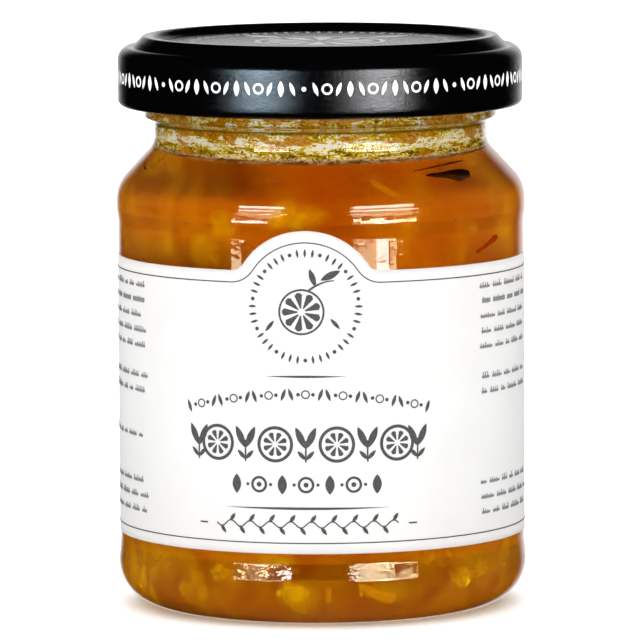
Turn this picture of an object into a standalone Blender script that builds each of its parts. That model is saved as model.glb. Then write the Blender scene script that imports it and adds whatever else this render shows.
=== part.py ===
"""A shut jar of citrus marmalade: pressed glass, twist-off lid, paper label with a round tab, and the fill.

Metres, +Z up. The origin is the middle of the base, and the label's tab faces -Y.
"""

import math

import bmesh
import bpy

# Overall
BODY_R = 0.0280
STEPS = 56
GAP = 0.0003

# Glass, outside
FOOT_R = 0.0185
HEEL_R = 0.0060
FOOT_HOLLOW = 0.0010
LOWER_STEP_Z = 0.0080
UPPER_STEP_Z = 0.0549
STEP_RISE = 0.0012
PANEL_R = 0.0274
SHOULDER_Z = 0.0556
SHOULDER_R = 0.0053
SHOULDER_TURN = math.radians(43)
NECK_R = 0.0227
NECK_FILLET_R = 0.0029
NECK_TOP_Z = 0.0663
BEAD_R = 0.0241
BEAD_Z = (0.0671, 0.0700)
RIDGE_R = 0.0262
RIDGE_Z = (0.0710, 0.0725)
FINISH_R = 0.02485
MOUTH_R = 0.02345
RIM_Z = 0.0773
RIM_ROUND = 0.0006

# Glass, inside
INNER_R = 0.0254
FLOOR_Z = 0.0024
FLOOR_RISE = 0.0005
INNER_HEEL_R = 0.0048
INNER_SHOULDER_Z = 0.0548
INNER_SHOULDER_R = 0.0036
INNER_NECK_R = 0.0205
INNER_NECK_FILLET_R = 0.0048
MOUTH_FLARE_Z = (0.0700, 0.0745)

# Fill
FILL_Z = 0.0621
MENISCUS_RISE = 0.0004
MENISCUS_WIDTH = 0.0020

# Lid
LID_R = 0.0277
LID_TOP_Z = 0.0781
LID_SHEET = 0.0003
LID_SHOULDER_R = 0.0018
LEDGE_Z = 0.0767
LEDGE_TURN = math.radians(72)
CURL_R = 0.00095
CURL_TURN = math.radians(200)
CURL_Z = 0.06945
GROOVE_R = (0.0256, 0.0259)
GROOVE_Z = 0.0765
RING_OUTER_R = 0.0255
RING_OUTER_ROUND = 0.0007
RING_SLOPE_TURN = math.radians(45)
LID_PANEL_R = 0.0218
LID_PANEL_Z = 0.0771

# Label
LABEL_SHEET = 0.00015
LABEL_Z = (0.01015, 0.04825)
TAB_R = 0.0102
TAB_CENTRE_Z = 0.0435
TAB_FILLET_R = 0.0022
BACK_OPENING = math.radians(24)
TAB_COLUMNS = 36
BAND_STEP = math.radians(6)


def clear_scene():
    for obj in list(bpy.data.objects):
        bpy.data.objects.remove(obj, do_unlink=True)


def make_collection(name):
    collection = bpy.data.collections.new(name)
    bpy.context.scene.collection.children.link(collection)
    return collection


def make_material(name, colour, roughness, metallic=0.0, transmission=0.0, ior=1.5):
    material = bpy.data.materials.new(name)
    material.use_nodes = True
    material.diffuse_color = (*colour, 1.0)
    shader = material.node_tree.nodes["Principled BSDF"]
    shader.inputs["Base Color"].default_value = (*colour, 1.0)
    shader.inputs["Roughness"].default_value = roughness
    shader.inputs["Metallic"].default_value = metallic
    shader.inputs["Transmission Weight"].default_value = transmission
    shader.inputs["IOR"].default_value = ior
    return material


def add_object(name, mesh, material, collection):
    mesh.materials.append(material)
    obj = bpy.data.objects.new(name, mesh)
    collection.objects.link(obj)
    return obj


def arc(centre_r, centre_z, radius, start, end, count):
    """Points (r, z) on a circle, at angles from +r towards +z."""
    points = []
    for i in range(count + 1):
        angle = start + (end - start) * i / count
        points.append((centre_r + radius * math.cos(angle), centre_z + radius * math.sin(angle)))
    return points


def smooth_step(start, end, count=3):
    """An S-shaped run from one (r, z) to the other, the first and last points included."""
    points = []
    for i in range(count + 1):
        t = i / count
        ease = t * t * (3 - 2 * t)
        points.append((start[0] + (end[0] - start[0]) * ease, start[1] + (end[1] - start[1]) * t))
    return points


def shoulder(wall_r, start_z, round_r, neck_r, fillet_r, count):
    """The run up from a straight wall: a round shoulder, a straight slope and a fillet into the neck."""
    round_part = arc(wall_r - round_r, start_z, round_r, 0, SHOULDER_TURN, count)
    slope_start_r, slope_start_z = round_part[-1]
    slope_end_r = neck_r + fillet_r * (1 - math.cos(SHOULDER_TURN))
    slope = (slope_start_r - slope_end_r) / math.sin(SHOULDER_TURN)
    slope_end_z = slope_start_z + slope * math.cos(SHOULDER_TURN)
    fillet_z = slope_end_z + fillet_r * math.sin(SHOULDER_TURN)
    fillet = arc(neck_r + fillet_r, fillet_z, fillet_r, math.pi + SHOULDER_TURN, math.pi, count - 1)
    return round_part + fillet


def outer_wall():
    """The glass's outside, from the rim down to the bearing ring."""
    upward = arc(BODY_R - HEEL_R, HEEL_R, HEEL_R, -math.pi / 2, 0, 6)
    upward += smooth_step((BODY_R, LOWER_STEP_Z), (PANEL_R, LOWER_STEP_Z + STEP_RISE))
    upward += smooth_step((PANEL_R, UPPER_STEP_Z - STEP_RISE), (BODY_R, UPPER_STEP_Z))
    upward += shoulder(BODY_R, SHOULDER_Z, SHOULDER_R, NECK_R, NECK_FILLET_R, 5)
    upward += smooth_step((NECK_R, NECK_TOP_Z), (BEAD_R, BEAD_Z[0]), 2)
    upward += [(BEAD_R, BEAD_Z[1])]
    upward += [(RIDGE_R, RIDGE_Z[0]), (RIDGE_R, RIDGE_Z[1])]
    upward += [(FINISH_R, RIDGE_Z[1] + (RIDGE_R - FINISH_R))]
    upward += arc(FINISH_R - RIM_ROUND, RIM_Z - RIM_ROUND, RIM_ROUND, 0, math.pi / 2, 2)
    return upward[::-1]


def inner_wall(inset):
    """The glass's inside, from the floor's edge up to the neck, moved inwards by inset."""
    wall_r = INNER_R - inset
    heel_r = INNER_HEEL_R - inset
    run = arc(wall_r - heel_r, FLOOR_Z + INNER_HEEL_R, heel_r, -math.pi / 2, 0, 4)
    run += shoulder(
        wall_r,
        INNER_SHOULDER_Z,
        INNER_SHOULDER_R - inset,
        INNER_NECK_R - inset,
        INNER_NECK_FILLET_R + inset,
        4,
    )
    return run


def cut_at_height(run, height):
    """The part of an upward run below the height, with a last point on it."""
    below = [point for point in run if point[1] < height]
    (r0, z0), (r1, z1) = below[-1], run[len(below)]
    share = (height - z0) / (z1 - z0)
    return below + [(r0 + (r1 - r0) * share, height)]


def turned(name, profile, material, collection):
    """A profile of (r, z) points, down its outer side, turned round the Z axis."""
    mesh = bpy.data.meshes.new(name)
    points = [(r, 0, z) for r, z in profile]
    edges = [(i, i + 1) for i in range(len(points) - 1)]
    mesh.from_pydata(points, edges, [])
    obj = add_object(name, mesh, material, collection)
    screw = obj.modifiers.new("Turn", "SCREW")
    screw.axis = "Z"
    screw.steps = STEPS
    screw.render_steps = STEPS
    screw.use_merge_vertices = True
    screw.merge_threshold = 0.0001
    screw.use_smooth_shade = True
    return obj


def make_glass(collection):
    inside = [(0, FLOOR_Z + FLOOR_RISE)] + inner_wall(0)
    inside += [(INNER_NECK_R, MOUTH_FLARE_Z[0]), (MOUTH_R, MOUTH_FLARE_Z[1])]
    inside += arc(MOUTH_R + RIM_ROUND, RIM_Z - RIM_ROUND, RIM_ROUND, math.pi, math.pi / 2, 2)
    foot = [(FOOT_R, 0), (FOOT_R - 2 * FOOT_HOLLOW, FOOT_HOLLOW), (0, FOOT_HOLLOW)]
    glass = make_material("clear_glass", (0.93, 0.95, 0.94), 0.02, transmission=1.0, ior=1.52)
    return turned("glass_jar", inside + outer_wall() + foot, glass, collection)


def make_fill(collection):
    """The set marmalade, level with the foot of the neck and a little higher at the wall."""
    side = [(0, FLOOR_Z + GAP + FLOOR_RISE)] + cut_at_height(inner_wall(GAP), FILL_Z)
    level_z = FILL_Z - MENISCUS_RISE
    top = [(0, level_z), (side[-1][0] - MENISCUS_WIDTH, level_z)]
    marmalade = make_material("orange_marmalade", (0.42, 0.10, 0.004), 0.15, transmission=0.4, ior=1.42)
    return turned("marmalade", top + side[::-1], marmalade, collection)


def make_lid(collection):
    """Sheet metal: a sunk middle, a raised ring over the rim, a groove, a plain skirt and a rolled edge."""
    quarter = math.pi / 2
    slope_round = (LID_TOP_Z - LID_PANEL_Z) / 2 / (1 - math.cos(RING_SLOPE_TURN))
    crest_r = LID_PANEL_R + 2 * slope_round * math.sin(RING_SLOPE_TURN)
    foot_end = RING_SLOPE_TURN - quarter
    run = [(0, LID_PANEL_Z)]
    run += arc(LID_PANEL_R, LID_PANEL_Z + slope_round, slope_round, -quarter, foot_end, 2)
    run += arc(crest_r, LID_TOP_Z - slope_round, slope_round, foot_end + math.pi, quarter, 2)[1:]
    run += arc(RING_OUTER_R - RING_OUTER_ROUND, LID_TOP_Z - RING_OUTER_ROUND, RING_OUTER_ROUND, quarter, 0, 2)
    run += [(r, GROOVE_Z) for r in GROOVE_R]
    run += arc(LID_R - LID_SHOULDER_R, LEDGE_Z - LID_SHOULDER_R, LID_SHOULDER_R, LEDGE_TURN, 0, 4)
    run += arc(LID_R - CURL_R, CURL_Z, CURL_R, 0, -CURL_TURN, 5)
    black = make_material("black_lacquer", (0.004, 0.004, 0.006), 0.3, metallic=0.6)
    lid = turned("lid", run, black, collection)
    sheet = lid.modifiers.new("Sheet", "SOLIDIFY")
    sheet.thickness = LID_SHEET
    sheet.offset = -1
    sheet.use_even_offset = True
    return lid


def label_top(along):
    """Height of the label's upper edge at a distance along it from the tab's middle."""
    fillet_z = LABEL_Z[1] + TAB_FILLET_R
    reach = TAB_R + TAB_FILLET_R
    fillet_along = math.sqrt(reach**2 - (fillet_z - TAB_CENTRE_Z) ** 2)
    along = abs(along)
    if along < fillet_along * TAB_R / reach:
        return TAB_CENTRE_Z + math.sqrt(TAB_R**2 - along**2)
    if along < fillet_along:
        return fillet_z - math.sqrt(TAB_FILLET_R**2 - (fillet_along - along) ** 2)
    return LABEL_Z[1]


def label_angles():
    """Angles of the label's columns from the tab's middle: close together under the tab."""
    tab_half = (TAB_R + TAB_FILLET_R) / PANEL_R
    end = math.pi - BACK_OPENING / 2
    angles = [tab_half * (2 * i / TAB_COLUMNS - 1) for i in range(TAB_COLUMNS + 1)]
    count = math.ceil((end - tab_half) / BAND_STEP)
    side = [tab_half + (end - tab_half) * (i + 1) / count for i in range(count)]
    return [-angle for angle in reversed(side)] + angles + side


def make_label(collection):
    """A flat grid wrapped round the panel, with its top row on the outline of band and tab."""
    angles = label_angles()
    radius = PANEL_R + GAP
    sheet = bmesh.new()
    bmesh.ops.create_grid(sheet, x_segments=len(angles) - 1, y_segments=1, size=1)
    for vertex in sheet.verts:
        angle = angles[round((vertex.co.x + 1) / 2 * (len(angles) - 1))]
        height = label_top(angle * radius) if vertex.co.y > 0 else LABEL_Z[0]
        vertex.co = (radius * math.sin(angle), -radius * math.cos(angle), height)
    mesh = bpy.data.meshes.new("label")
    sheet.to_mesh(mesh)
    sheet.free()
    mesh.shade_smooth()
    paper = make_material("white_paper", (0.90, 0.90, 0.89), 0.55)
    label = add_object("label", mesh, paper, collection)
    solidify = label.modifiers.new("Sheet", "SOLIDIFY")
    solidify.thickness = LABEL_SHEET
    solidify.offset = 1
    return label


clear_scene()
jar_parts = make_collection("marmalade_jar")
make_glass(jar_parts)
make_fill(jar_parts)
make_lid(jar_parts)
make_label(jar_parts)
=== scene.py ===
"""Looks of a shut jar of citrus marmalade. Metres, +Z up; the label's tab faces -Y."""

import math
import random

import bmesh
import bpy
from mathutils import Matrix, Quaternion, Vector, noise


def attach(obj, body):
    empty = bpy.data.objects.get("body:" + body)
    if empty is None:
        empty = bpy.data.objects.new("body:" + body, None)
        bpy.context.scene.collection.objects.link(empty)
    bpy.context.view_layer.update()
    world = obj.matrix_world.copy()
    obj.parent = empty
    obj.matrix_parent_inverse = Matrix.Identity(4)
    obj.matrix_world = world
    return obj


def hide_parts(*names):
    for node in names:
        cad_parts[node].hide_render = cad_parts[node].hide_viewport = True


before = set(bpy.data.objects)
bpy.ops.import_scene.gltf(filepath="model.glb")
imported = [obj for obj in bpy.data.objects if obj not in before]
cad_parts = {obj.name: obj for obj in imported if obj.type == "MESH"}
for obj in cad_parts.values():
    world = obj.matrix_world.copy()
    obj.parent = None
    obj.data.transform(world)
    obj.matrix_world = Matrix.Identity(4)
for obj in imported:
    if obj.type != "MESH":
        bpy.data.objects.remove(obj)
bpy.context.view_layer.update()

MM = 0.001
TURN_STEPS = 192

# Glass, outside
BODY_R = 28.0 * MM
FOOT_R = 18.5 * MM
HEEL_R = 6.0 * MM
FOOT_HOLLOW = 1.0 * MM
PANEL_R = 27.76 * MM
LOWER_STEP = (6.3 * MM, 8.8 * MM)
UPPER_STEP = (52.6 * MM, 54.4 * MM)
SHOULDER_Z = 55.6 * MM
SHOULDER_R = 5.3 * MM
SHOULDER_TURN = math.radians(43)
NECK_R = 22.7 * MM
NECK_FILLET_R = 2.9 * MM
NECK_TOP_Z = 66.3 * MM
BEAD_R = 24.1 * MM
BEAD_Z = (67.1 * MM, 70.0 * MM)
RIDGE_R = 26.2 * MM
RIDGE_Z = (71.0 * MM, 72.5 * MM)
FINISH_R = 24.85 * MM
MOUTH_R = 23.45 * MM
RIM_Z = 77.3 * MM
RIM_ROUND = 0.6 * MM

# Glass, inside
INNER_R = 25.4 * MM
FLOOR_Z = 2.4 * MM
FLOOR_RISE = 0.5 * MM
INNER_HEEL_R = 4.8 * MM
INNER_SHOULDER_Z = 54.8 * MM
INNER_SHOULDER_R = 3.6 * MM
INNER_NECK_R = 20.5 * MM
INNER_NECK_FILLET_R = 4.8 * MM
MOUTH_FLARE_Z = (70.0 * MM, 74.5 * MM)

# Fill
FILL_Z = 61.6 * MM
FILL_INTO_WALL = 0.2 * MM
MENISCUS_RISE = 0.5 * MM
MENISCUS_WIDTH = 1.6 * MM

# Lid
LID_R = 27.7 * MM
LID_TOP_Z = 78.1 * MM
LID_SHEET = 0.3 * MM
LID_SHOULDER_R = 1.8 * MM
LEDGE_Z = 76.7 * MM
LEDGE_TURN = math.radians(72)
CURL_R = 0.95 * MM
CURL_TURN = math.radians(200)
CURL_Z = 69.45 * MM
GROOVE_R = (25.6 * MM, 25.9 * MM)
GROOVE_Z = 76.5 * MM
RING_OUTER_R = 25.5 * MM
RING_CREST_R = 24.0 * MM
RING_CREST_ROUND = 0.5 * MM
RING_FOOT_Z = 76.75 * MM
RING_SLOPE_TURN = math.radians(62)
LID_PANEL_R = 21.8 * MM
LID_PANEL_Z = 77.1 * MM

# Label
LABEL_SHEET = 0.12 * MM
LABEL_Z = (10.15 * MM, 48.25 * MM)
LABEL_INTO_GLASS = 0.02 * MM
TAB_R = 10.2 * MM
TAB_CENTRE_Z = 43.5 * MM
TAB_FILLET_R = 2.2 * MM
LABEL_HALF_TURN = math.radians(168)
INK_LIFT = 0.03 * MM

# Painted shade in the jelly: the middle of the lower step's dark band, and the dome as (across, up, half
# width, half height) in millimetres
STEP_MIDDLE_Z = 7.4 * MM
DOME_SHADE = (0.0, 46.0, 15.5, 12.5)

# Film on the neck, and the threads
FILM_TOP_Z = 71.0 * MM
# Height of the painted shade line at the bead's lower edge
BEAD_LINE_Z = 66.8 * MM
THREAD_LIFT = 0.36 * MM

# Light
LAMP_AIM = Vector((0, 0, 0.04))
DARK_STUDIO = 0.003
EVEN_LIGHT = 1.34

# How pale the neck's film is, from its foot (0) to the lid (1)
FILM_BANDS = [(0.0, 0.5), (0.12, 0.36), (0.25, 0.40), (0.30, 0.74), (0.40, 0.68)]
FILM_BANDS += [(0.48, 0.52), (0.60, 0.50), (0.64, 0.60), (1.0, 0.56)]

# The film's colours, from thick to thin
FILM_TONES = [
    (0.40, (0.11, 0.075, 0.003)),
    (0.445, (0.38, 0.25, 0.003)),
    (0.485, (0.62, 0.42, 0.004)),
    (0.53, (0.92, 0.76, 0.05)),
    (0.56, (0.98, 1.0, 1.0)),
]

# Golden patches at the jelly's front: across, up, half width and half height in millimetres, and strength
GOLDEN_PATCHES = [
    (-1.0, 55.2, 4.5, 2.2, 0.24),
    (-20.5, 50.7, 4.0, 2.6, 0.15),
    (-13.2, 50.3, 2.2, 2.8, 0.17),
    (-0.8, 4.2, 3.6, 2.0, 0.20),
    (-21.1, 7.2, 3.6, 2.4, 0.11),
    (10.2, 4.8, 4.2, 1.4, 0.16),
    (20.7, 7.8, 3.0, 2.4, 0.11),
    (-3.7, 9.0, 3.2, 1.3, 0.13),
]

# The bits that the photograph shows, as (angle from the label's middle in degrees, height, radius) in mm;
# the saffron lies on the glass, so that it has no radius
SHOWN_PEEL = [
    ((21.4, 58.6, 21.7), (30.9, 56.9, 22.8), 1.1, 0.3),
    ((-33.5, 50.2, 23.2), (-29.1, 48.1, 23.1), 1.0, 0.0),
    ((6.4, 5.2, 22.9), (6.5, 3.6, 22.2), 0.8, 0.1),
    ((16.1, 5.4, 23.4), (28.5, 4.1, 23.0), 1.2, 0.4),
    ((39.4, 7.4, 22.4), (43.5, 9.8, 22.3), 1.2, 0.2),
    ((-62.1, 7.5, 22.5), (-48.5, 9.1, 22.2), 1.4, 0.4),
]
SHOWN_PULP = [
    (-64.0, 4.9, 23.0, 1.5),
    (-44.3, 5.1, 21.6, 1.7),
    (-30.0, 6.7, 22.6, 1.3),
    (-3.7, 4.3, 22.8, 1.4),
    (-6.5, 5.2, 22.6, 1.0),
    (-9.2, 8.4, 21.5, 1.1),
    (20.0, 5.0, 22.8, 0.9),
    (52.0, 5.6, 22.6, 1.4),
    (-4.2, 54.5, 22.0, 1.3),
]
SAFFRON = [
    ((41.0, 59.4), (60.5, 58.9), 2.5, 0.1, 0.88),
    ((37.0, 60.0), (62.0, 60.6), 0.25, 0.1, 0.5),
    ((56.0, 49.6), (67.0, 51.4), 0.9, 0.0, 0.5),
    ((-80.0, 60.0), (-70.0, 58.9), 0.25, 0.4, 0.0),
]
SHOWN_BUBBLES = [(-4.9, 10.0), (6.7, 9.4), (9.7, 9.2), (16.8, 9.8), (35.2, 9.5), (44.3, 6.6)]
SHOWN_BUBBLES += [(-39.3, 54.1), (47.6, 54.3)]


def arc(centre_r, centre_z, radius, start, end, count):
    """Points (r, z) on a circle, at angles from +r towards +z."""
    points = []
    for i in range(count + 1):
        angle = start + (end - start) * i / count
        points.append((centre_r + radius * math.cos(angle), centre_z + radius * math.sin(angle)))
    return points


def between(start, end, across, up):
    """The point at these shares of the way from start to end."""
    return (start[0] + (end[0] - start[0]) * across, start[1] + (end[1] - start[1]) * up)


def straight(start, end, count):
    """Evenly spaced points from start to end, both included."""
    return [between(start, end, i / count, i / count) for i in range(count + 1)]


def smooth_step(start, end, count=8):
    """An S-shaped run from one (r, z) to the other, the first and last points included."""
    shares = [i / count for i in range(count + 1)]
    return [between(start, end, t * t * (3 - 2 * t), t) for t in shares]


def bevel(start, end, round_off=0.12):
    """A straight slope with crisp ends: close pairs of points keep the shading flat between them."""
    slope = [between(start, end, t, t) for t in (0, round_off, 0.5, 1 - round_off, 1)]
    return [(start[0], start[1] - 0.25 * MM)] + slope + [(end[0], end[1] + 0.25 * MM)]


def shoulder(wall_r, start_z, round_r, neck_r, fillet_r, count):
    """The run up from a straight wall: a round shoulder, a straight slope and a fillet into the neck."""
    round_part = arc(wall_r - round_r, start_z, round_r, 0, SHOULDER_TURN, count)
    slope_start_r, slope_start_z = round_part[-1]
    slope_end_r = neck_r + fillet_r * (1 - math.cos(SHOULDER_TURN))
    slope = (slope_start_r - slope_end_r) / math.sin(SHOULDER_TURN)
    slope_end_z = slope_start_z + slope * math.cos(SHOULDER_TURN)
    fillet_z = slope_end_z + fillet_r * math.sin(SHOULDER_TURN)
    fillet = arc(neck_r + fillet_r, fillet_z, fillet_r, math.pi + SHOULDER_TURN, math.pi, count)
    return round_part + fillet


def outer_wall():
    """The glass's outside, from the bearing ring up to the rim."""
    up = arc(BODY_R - HEEL_R, HEEL_R, HEEL_R, -math.pi / 2, 0, 24)
    up += bevel((BODY_R, LOWER_STEP[0]), (PANEL_R, LOWER_STEP[1]))
    up += bevel((PANEL_R, UPPER_STEP[0]), (BODY_R, UPPER_STEP[1]))
    up += shoulder(BODY_R, SHOULDER_Z, SHOULDER_R, NECK_R, NECK_FILLET_R, 16)
    up += smooth_step((NECK_R, NECK_TOP_Z), (BEAD_R, BEAD_Z[0]))
    up += [(BEAD_R, BEAD_Z[1])]
    up += [(RIDGE_R, RIDGE_Z[0]), (RIDGE_R, RIDGE_Z[1])]
    up += [(FINISH_R, RIDGE_Z[1] + (RIDGE_R - FINISH_R))]
    up += arc(FINISH_R - RIM_ROUND, RIM_Z - RIM_ROUND, RIM_ROUND, 0, math.pi / 2, 5)
    return up


def inner_wall(outset):
    """The glass's inside, from the floor's edge up to the neck, moved outwards by outset."""
    wall_r = INNER_R + outset
    heel_r = INNER_HEEL_R + outset
    run = arc(wall_r - heel_r, FLOOR_Z + INNER_HEEL_R, heel_r, -math.pi / 2, 0, 16)
    round_r, neck_r, fillet_r = INNER_SHOULDER_R + outset, INNER_NECK_R + outset, INNER_NECK_FILLET_R - outset
    return run + shoulder(wall_r, INNER_SHOULDER_Z, round_r, neck_r, fillet_r, 12)


def radius_at(run, height):
    """The radius of an upward run at a height, up to the end of the run."""
    for (r0, z0), (r1, z1) in zip(run, run[1:]):
        if z0 <= height <= z1 and z1 > z0:
            return r0 + (r1 - r0) * (height - z0) / (z1 - z0)
    return run[-1][0]


def cut_at_height(run, height):
    """The part of an upward run below the height, with a last point on it."""
    below = [point for point in run if point[1] < height]
    return below + [(radius_at(run, height), height)]


def on_wall(angle, height, radius):
    """A point at an angle from the label's middle towards +X."""
    return Vector((radius * math.sin(angle), -radius * math.cos(angle), height))


def put(name, data):
    """A new object in the scene."""
    obj = bpy.data.objects.new(name, data)
    bpy.context.scene.collection.objects.link(obj)
    return obj


def add_piece(name, mesh, material, replaced=None):
    mesh.materials.append(material)
    piece = put(name, mesh)
    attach(piece, "root")
    if replaced:
        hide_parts(replaced)
    return piece


def join_rings(bm, low, high):
    """Faces between two rings of vertices."""
    for k in range(len(low)):
        n = (k + 1) % len(low)
        bm.faces.new((low[k], low[n], high[n], high[k]))


def smooth_mesh(bm, name):
    mesh = bpy.data.meshes.new(name)
    bm.to_mesh(mesh)
    bm.free()
    mesh.shade_smooth()
    return mesh


def bake_modifiers(obj):
    """Gives the object the mesh that its modifiers make."""
    graph = bpy.context.evaluated_depsgraph_get()
    mesh = bpy.data.meshes.new_from_object(obj.evaluated_get(graph))
    obj.modifiers.clear()
    obj.data = mesh
    return mesh


def turned_mesh(name, profile, sheet=0.0):
    """A profile of (r, z) points, down its outer side, turned round the Z axis."""
    mesh = bpy.data.meshes.new(name)
    mesh.from_pydata([(r, 0, z) for r, z in profile], [(i, i + 1) for i in range(len(profile) - 1)], [])
    obj = put(name + "_turning", mesh)
    screw = obj.modifiers.new("Turn", "SCREW")
    screw.axis = "Z"
    screw.steps = TURN_STEPS
    screw.render_steps = TURN_STEPS
    screw.use_merge_vertices = True
    screw.merge_threshold = 0.00001
    screw.use_smooth_shade = True
    if sheet:
        solid = obj.modifiers.new("Sheet", "SOLIDIFY")
        solid.thickness = sheet
        solid.offset = -1
        solid.use_even_offset = True
    made = bake_modifiers(obj)
    made.name = name
    bpy.data.objects.remove(obj)
    return made


class Graph:
    """A material's or world's nodes, with one short call to add a node and join its inputs."""

    def __init__(self, name, kind="Material"):
        owners = bpy.data.worlds if kind == "World" else bpy.data.materials
        self.owner = owners.new(name)
        self.owner.use_nodes = True
        self.tree = self.owner.node_tree
        self.tree.nodes.clear()
        self.output = self.add("Output" + kind)

    def add(self, kind, inputs=None, **settings):
        node = self.tree.nodes.new("ShaderNode" + kind)
        for key, value in settings.items():
            setattr(node, key, value)
        for key, value in (inputs or {}).items():
            if isinstance(value, bpy.types.NodeSocket):
                self.tree.links.new(value, node.inputs[key])
            elif value is not None:
                node.inputs[key].default_value = value
        return node

    def noise(self, scale, detail=3.0, roughness=0.5, distortion=0.0, stretch=None):
        """Noise over the object's own coordinates, scale in features per metre."""
        place = self.add("TexCoord").outputs["Object"]
        if stretch:
            place = self.add("Mapping", {"Vector": place, "Scale": stretch}).outputs[0]
        inputs = {"Vector": place, "Scale": scale, "Detail": detail, "Roughness": roughness}
        return self.add("TexNoise", {**inputs, "Distortion": distortion}).outputs["Fac"]

    def ramp(self, factor, stops):
        """A colour ramp through (place, colour) stops."""
        node = self.add("ValToRGB", {"Fac": factor})
        elements = node.color_ramp.elements
        while len(elements) < len(stops):
            elements.new(0.5)
        for element, (place, colour) in zip(elements, stops):
            element.position = place
            element.color = (*colour, 1)
        return node.outputs["Color"]

    def grade(self, value, low, high, to_low, to_high):
        """A value carried from one range to another, clamped."""
        inputs = {"Value": value, "From Min": low, "From Max": high, "To Min": to_low, "To Max": to_high}
        return self.add("MapRange", inputs).outputs[0]

    def bump(self, height, strength, distance, normal=None):
        inputs = {"Height": height, "Strength": strength, "Distance": distance, "Normal": normal}
        return self.add("Bump", inputs).outputs[0]

    def math(self, operation, *values):
        return self.add("Math", dict(enumerate(values)), operation=operation).outputs[0]

    def mix(self, share, first, second):
        """One colour over another."""
        return self.add("MixRGB", {"Fac": share, "Color1": first, "Color2": second}).outputs[0]

    def times(self, first, second):
        return self.math("MULTIPLY", first, second)

    def plus(self, first, second):
        return self.math("ADD", first, second)

    def off(self, value, middle):
        """How far a value is from the middle, either way."""
        return self.math("ABSOLUTE", self.math("SUBTRACT", value, middle))

    def oval(self, side, rise, across, up, half_width, half_height):
        """The square of the way from an oval's middle, 1 on its edge. The four sizes are in millimetres."""
        aside = self.math("DIVIDE", self.math("SUBTRACT", side, across * MM), half_width * MM)
        above = self.math("DIVIDE", self.math("SUBTRACT", rise, up * MM), half_height * MM)
        return self.plus(self.times(aside, aside), self.times(above, above))

    def blend(self, share, first, second):
        """One shader over another."""
        return self.add("MixShader", {0: share, 1: first, 2: second}).outputs[0]

    def facing(self):
        """0 where a surface faces the eye, 1 at its rim."""
        return self.add("LayerWeight", {"Blend": 0.5}).outputs["Facing"]

    def glow(self, colour, normal=None):
        """Light let through, as by paper."""
        return self.add("BsdfTranslucent", {"Color": colour, "Normal": normal}).outputs[0]

    def place(self):
        """The object's own coordinates, one by one."""
        return self.add("SeparateXYZ", {0: self.add("TexCoord").outputs["Object"]}).outputs

    def principled(self, colour, roughness, normal=None, **others):
        """A surface. The others are named as their sockets, with _ for a space."""
        inputs = {"Base Color": colour, "Roughness": roughness, "Normal": normal}
        for name, value in others.items():
            inputs[name.replace("_", " ")] = value
        return self.add("BsdfPrincipled", inputs).outputs[0]

    def clear(self, colour, roughness, ior, mirror, normal=None):
        """Clear stuff that mirrors in the colour mirror."""
        others = {"Transmission_Weight": 1.0, "IOR": ior, "Specular_Tint": (*mirror, 1)}
        return self.principled(colour, roughness, normal, **others)

    def matt(self, colour, roughness, normal=None):
        """Stuff with no shine at all."""
        return self.principled(colour, roughness, normal, Specular_IOR_Level=0.0)

    def let_lamps_through(self, shader, tint):
        """Clear stuff that casts no hard shadow: lamps see a tinted pane where the eye sees the shader."""
        shadow = self.add("LightPath").outputs["Is Shadow Ray"]
        pane = self.add("BsdfTransparent", {"Color": (*tint, 1)}).outputs[0]
        return self.blend(shadow, shader, pane)

    def finish(self, surface, volume=None):
        self.tree.links.new(surface, self.output.inputs["Surface"])
        if volume:
            self.tree.links.new(volume, self.output.inputs["Volume"])
        return self.owner


def glass_material(name, mirror):
    """Clear glass. Its inner face mirrors next to nothing where it holds marmalade: mirror is 0 there."""
    g = Graph(name)
    fine = g.noise(1900, 2, 0.6)
    waves = g.noise(300, 2, 0.5, 0.3, (1, 1, 1.4))
    normal = g.bump(fine, 1.0, 0.0000025, g.bump(waves, 1.0, 0.000013))
    roughness = g.grade(fine, 0.45, 0.8, 0.0, 0.05)
    shader = g.clear((0.985, 0.99, 0.985, 1), roughness, 1.52, (mirror, mirror, mirror), normal)
    return g.finish(g.let_lamps_through(shader, (0.96, 0.97, 0.96)))


def golden_patches(g, side, rise):
    """How golden the jelly is in the patches, with ragged edges."""
    ragged = g.grade(g.noise(240, 2, 0.5), 0.35, 0.65, -0.4, 0.5)
    total = 0.0
    for *oval, strength in GOLDEN_PATCHES:
        away = g.plus(g.oval(side, rise, *oval), ragged)
        total = g.plus(total, g.grade(away, 0.0, 1.2, strength, 0.0))
    return total


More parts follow.
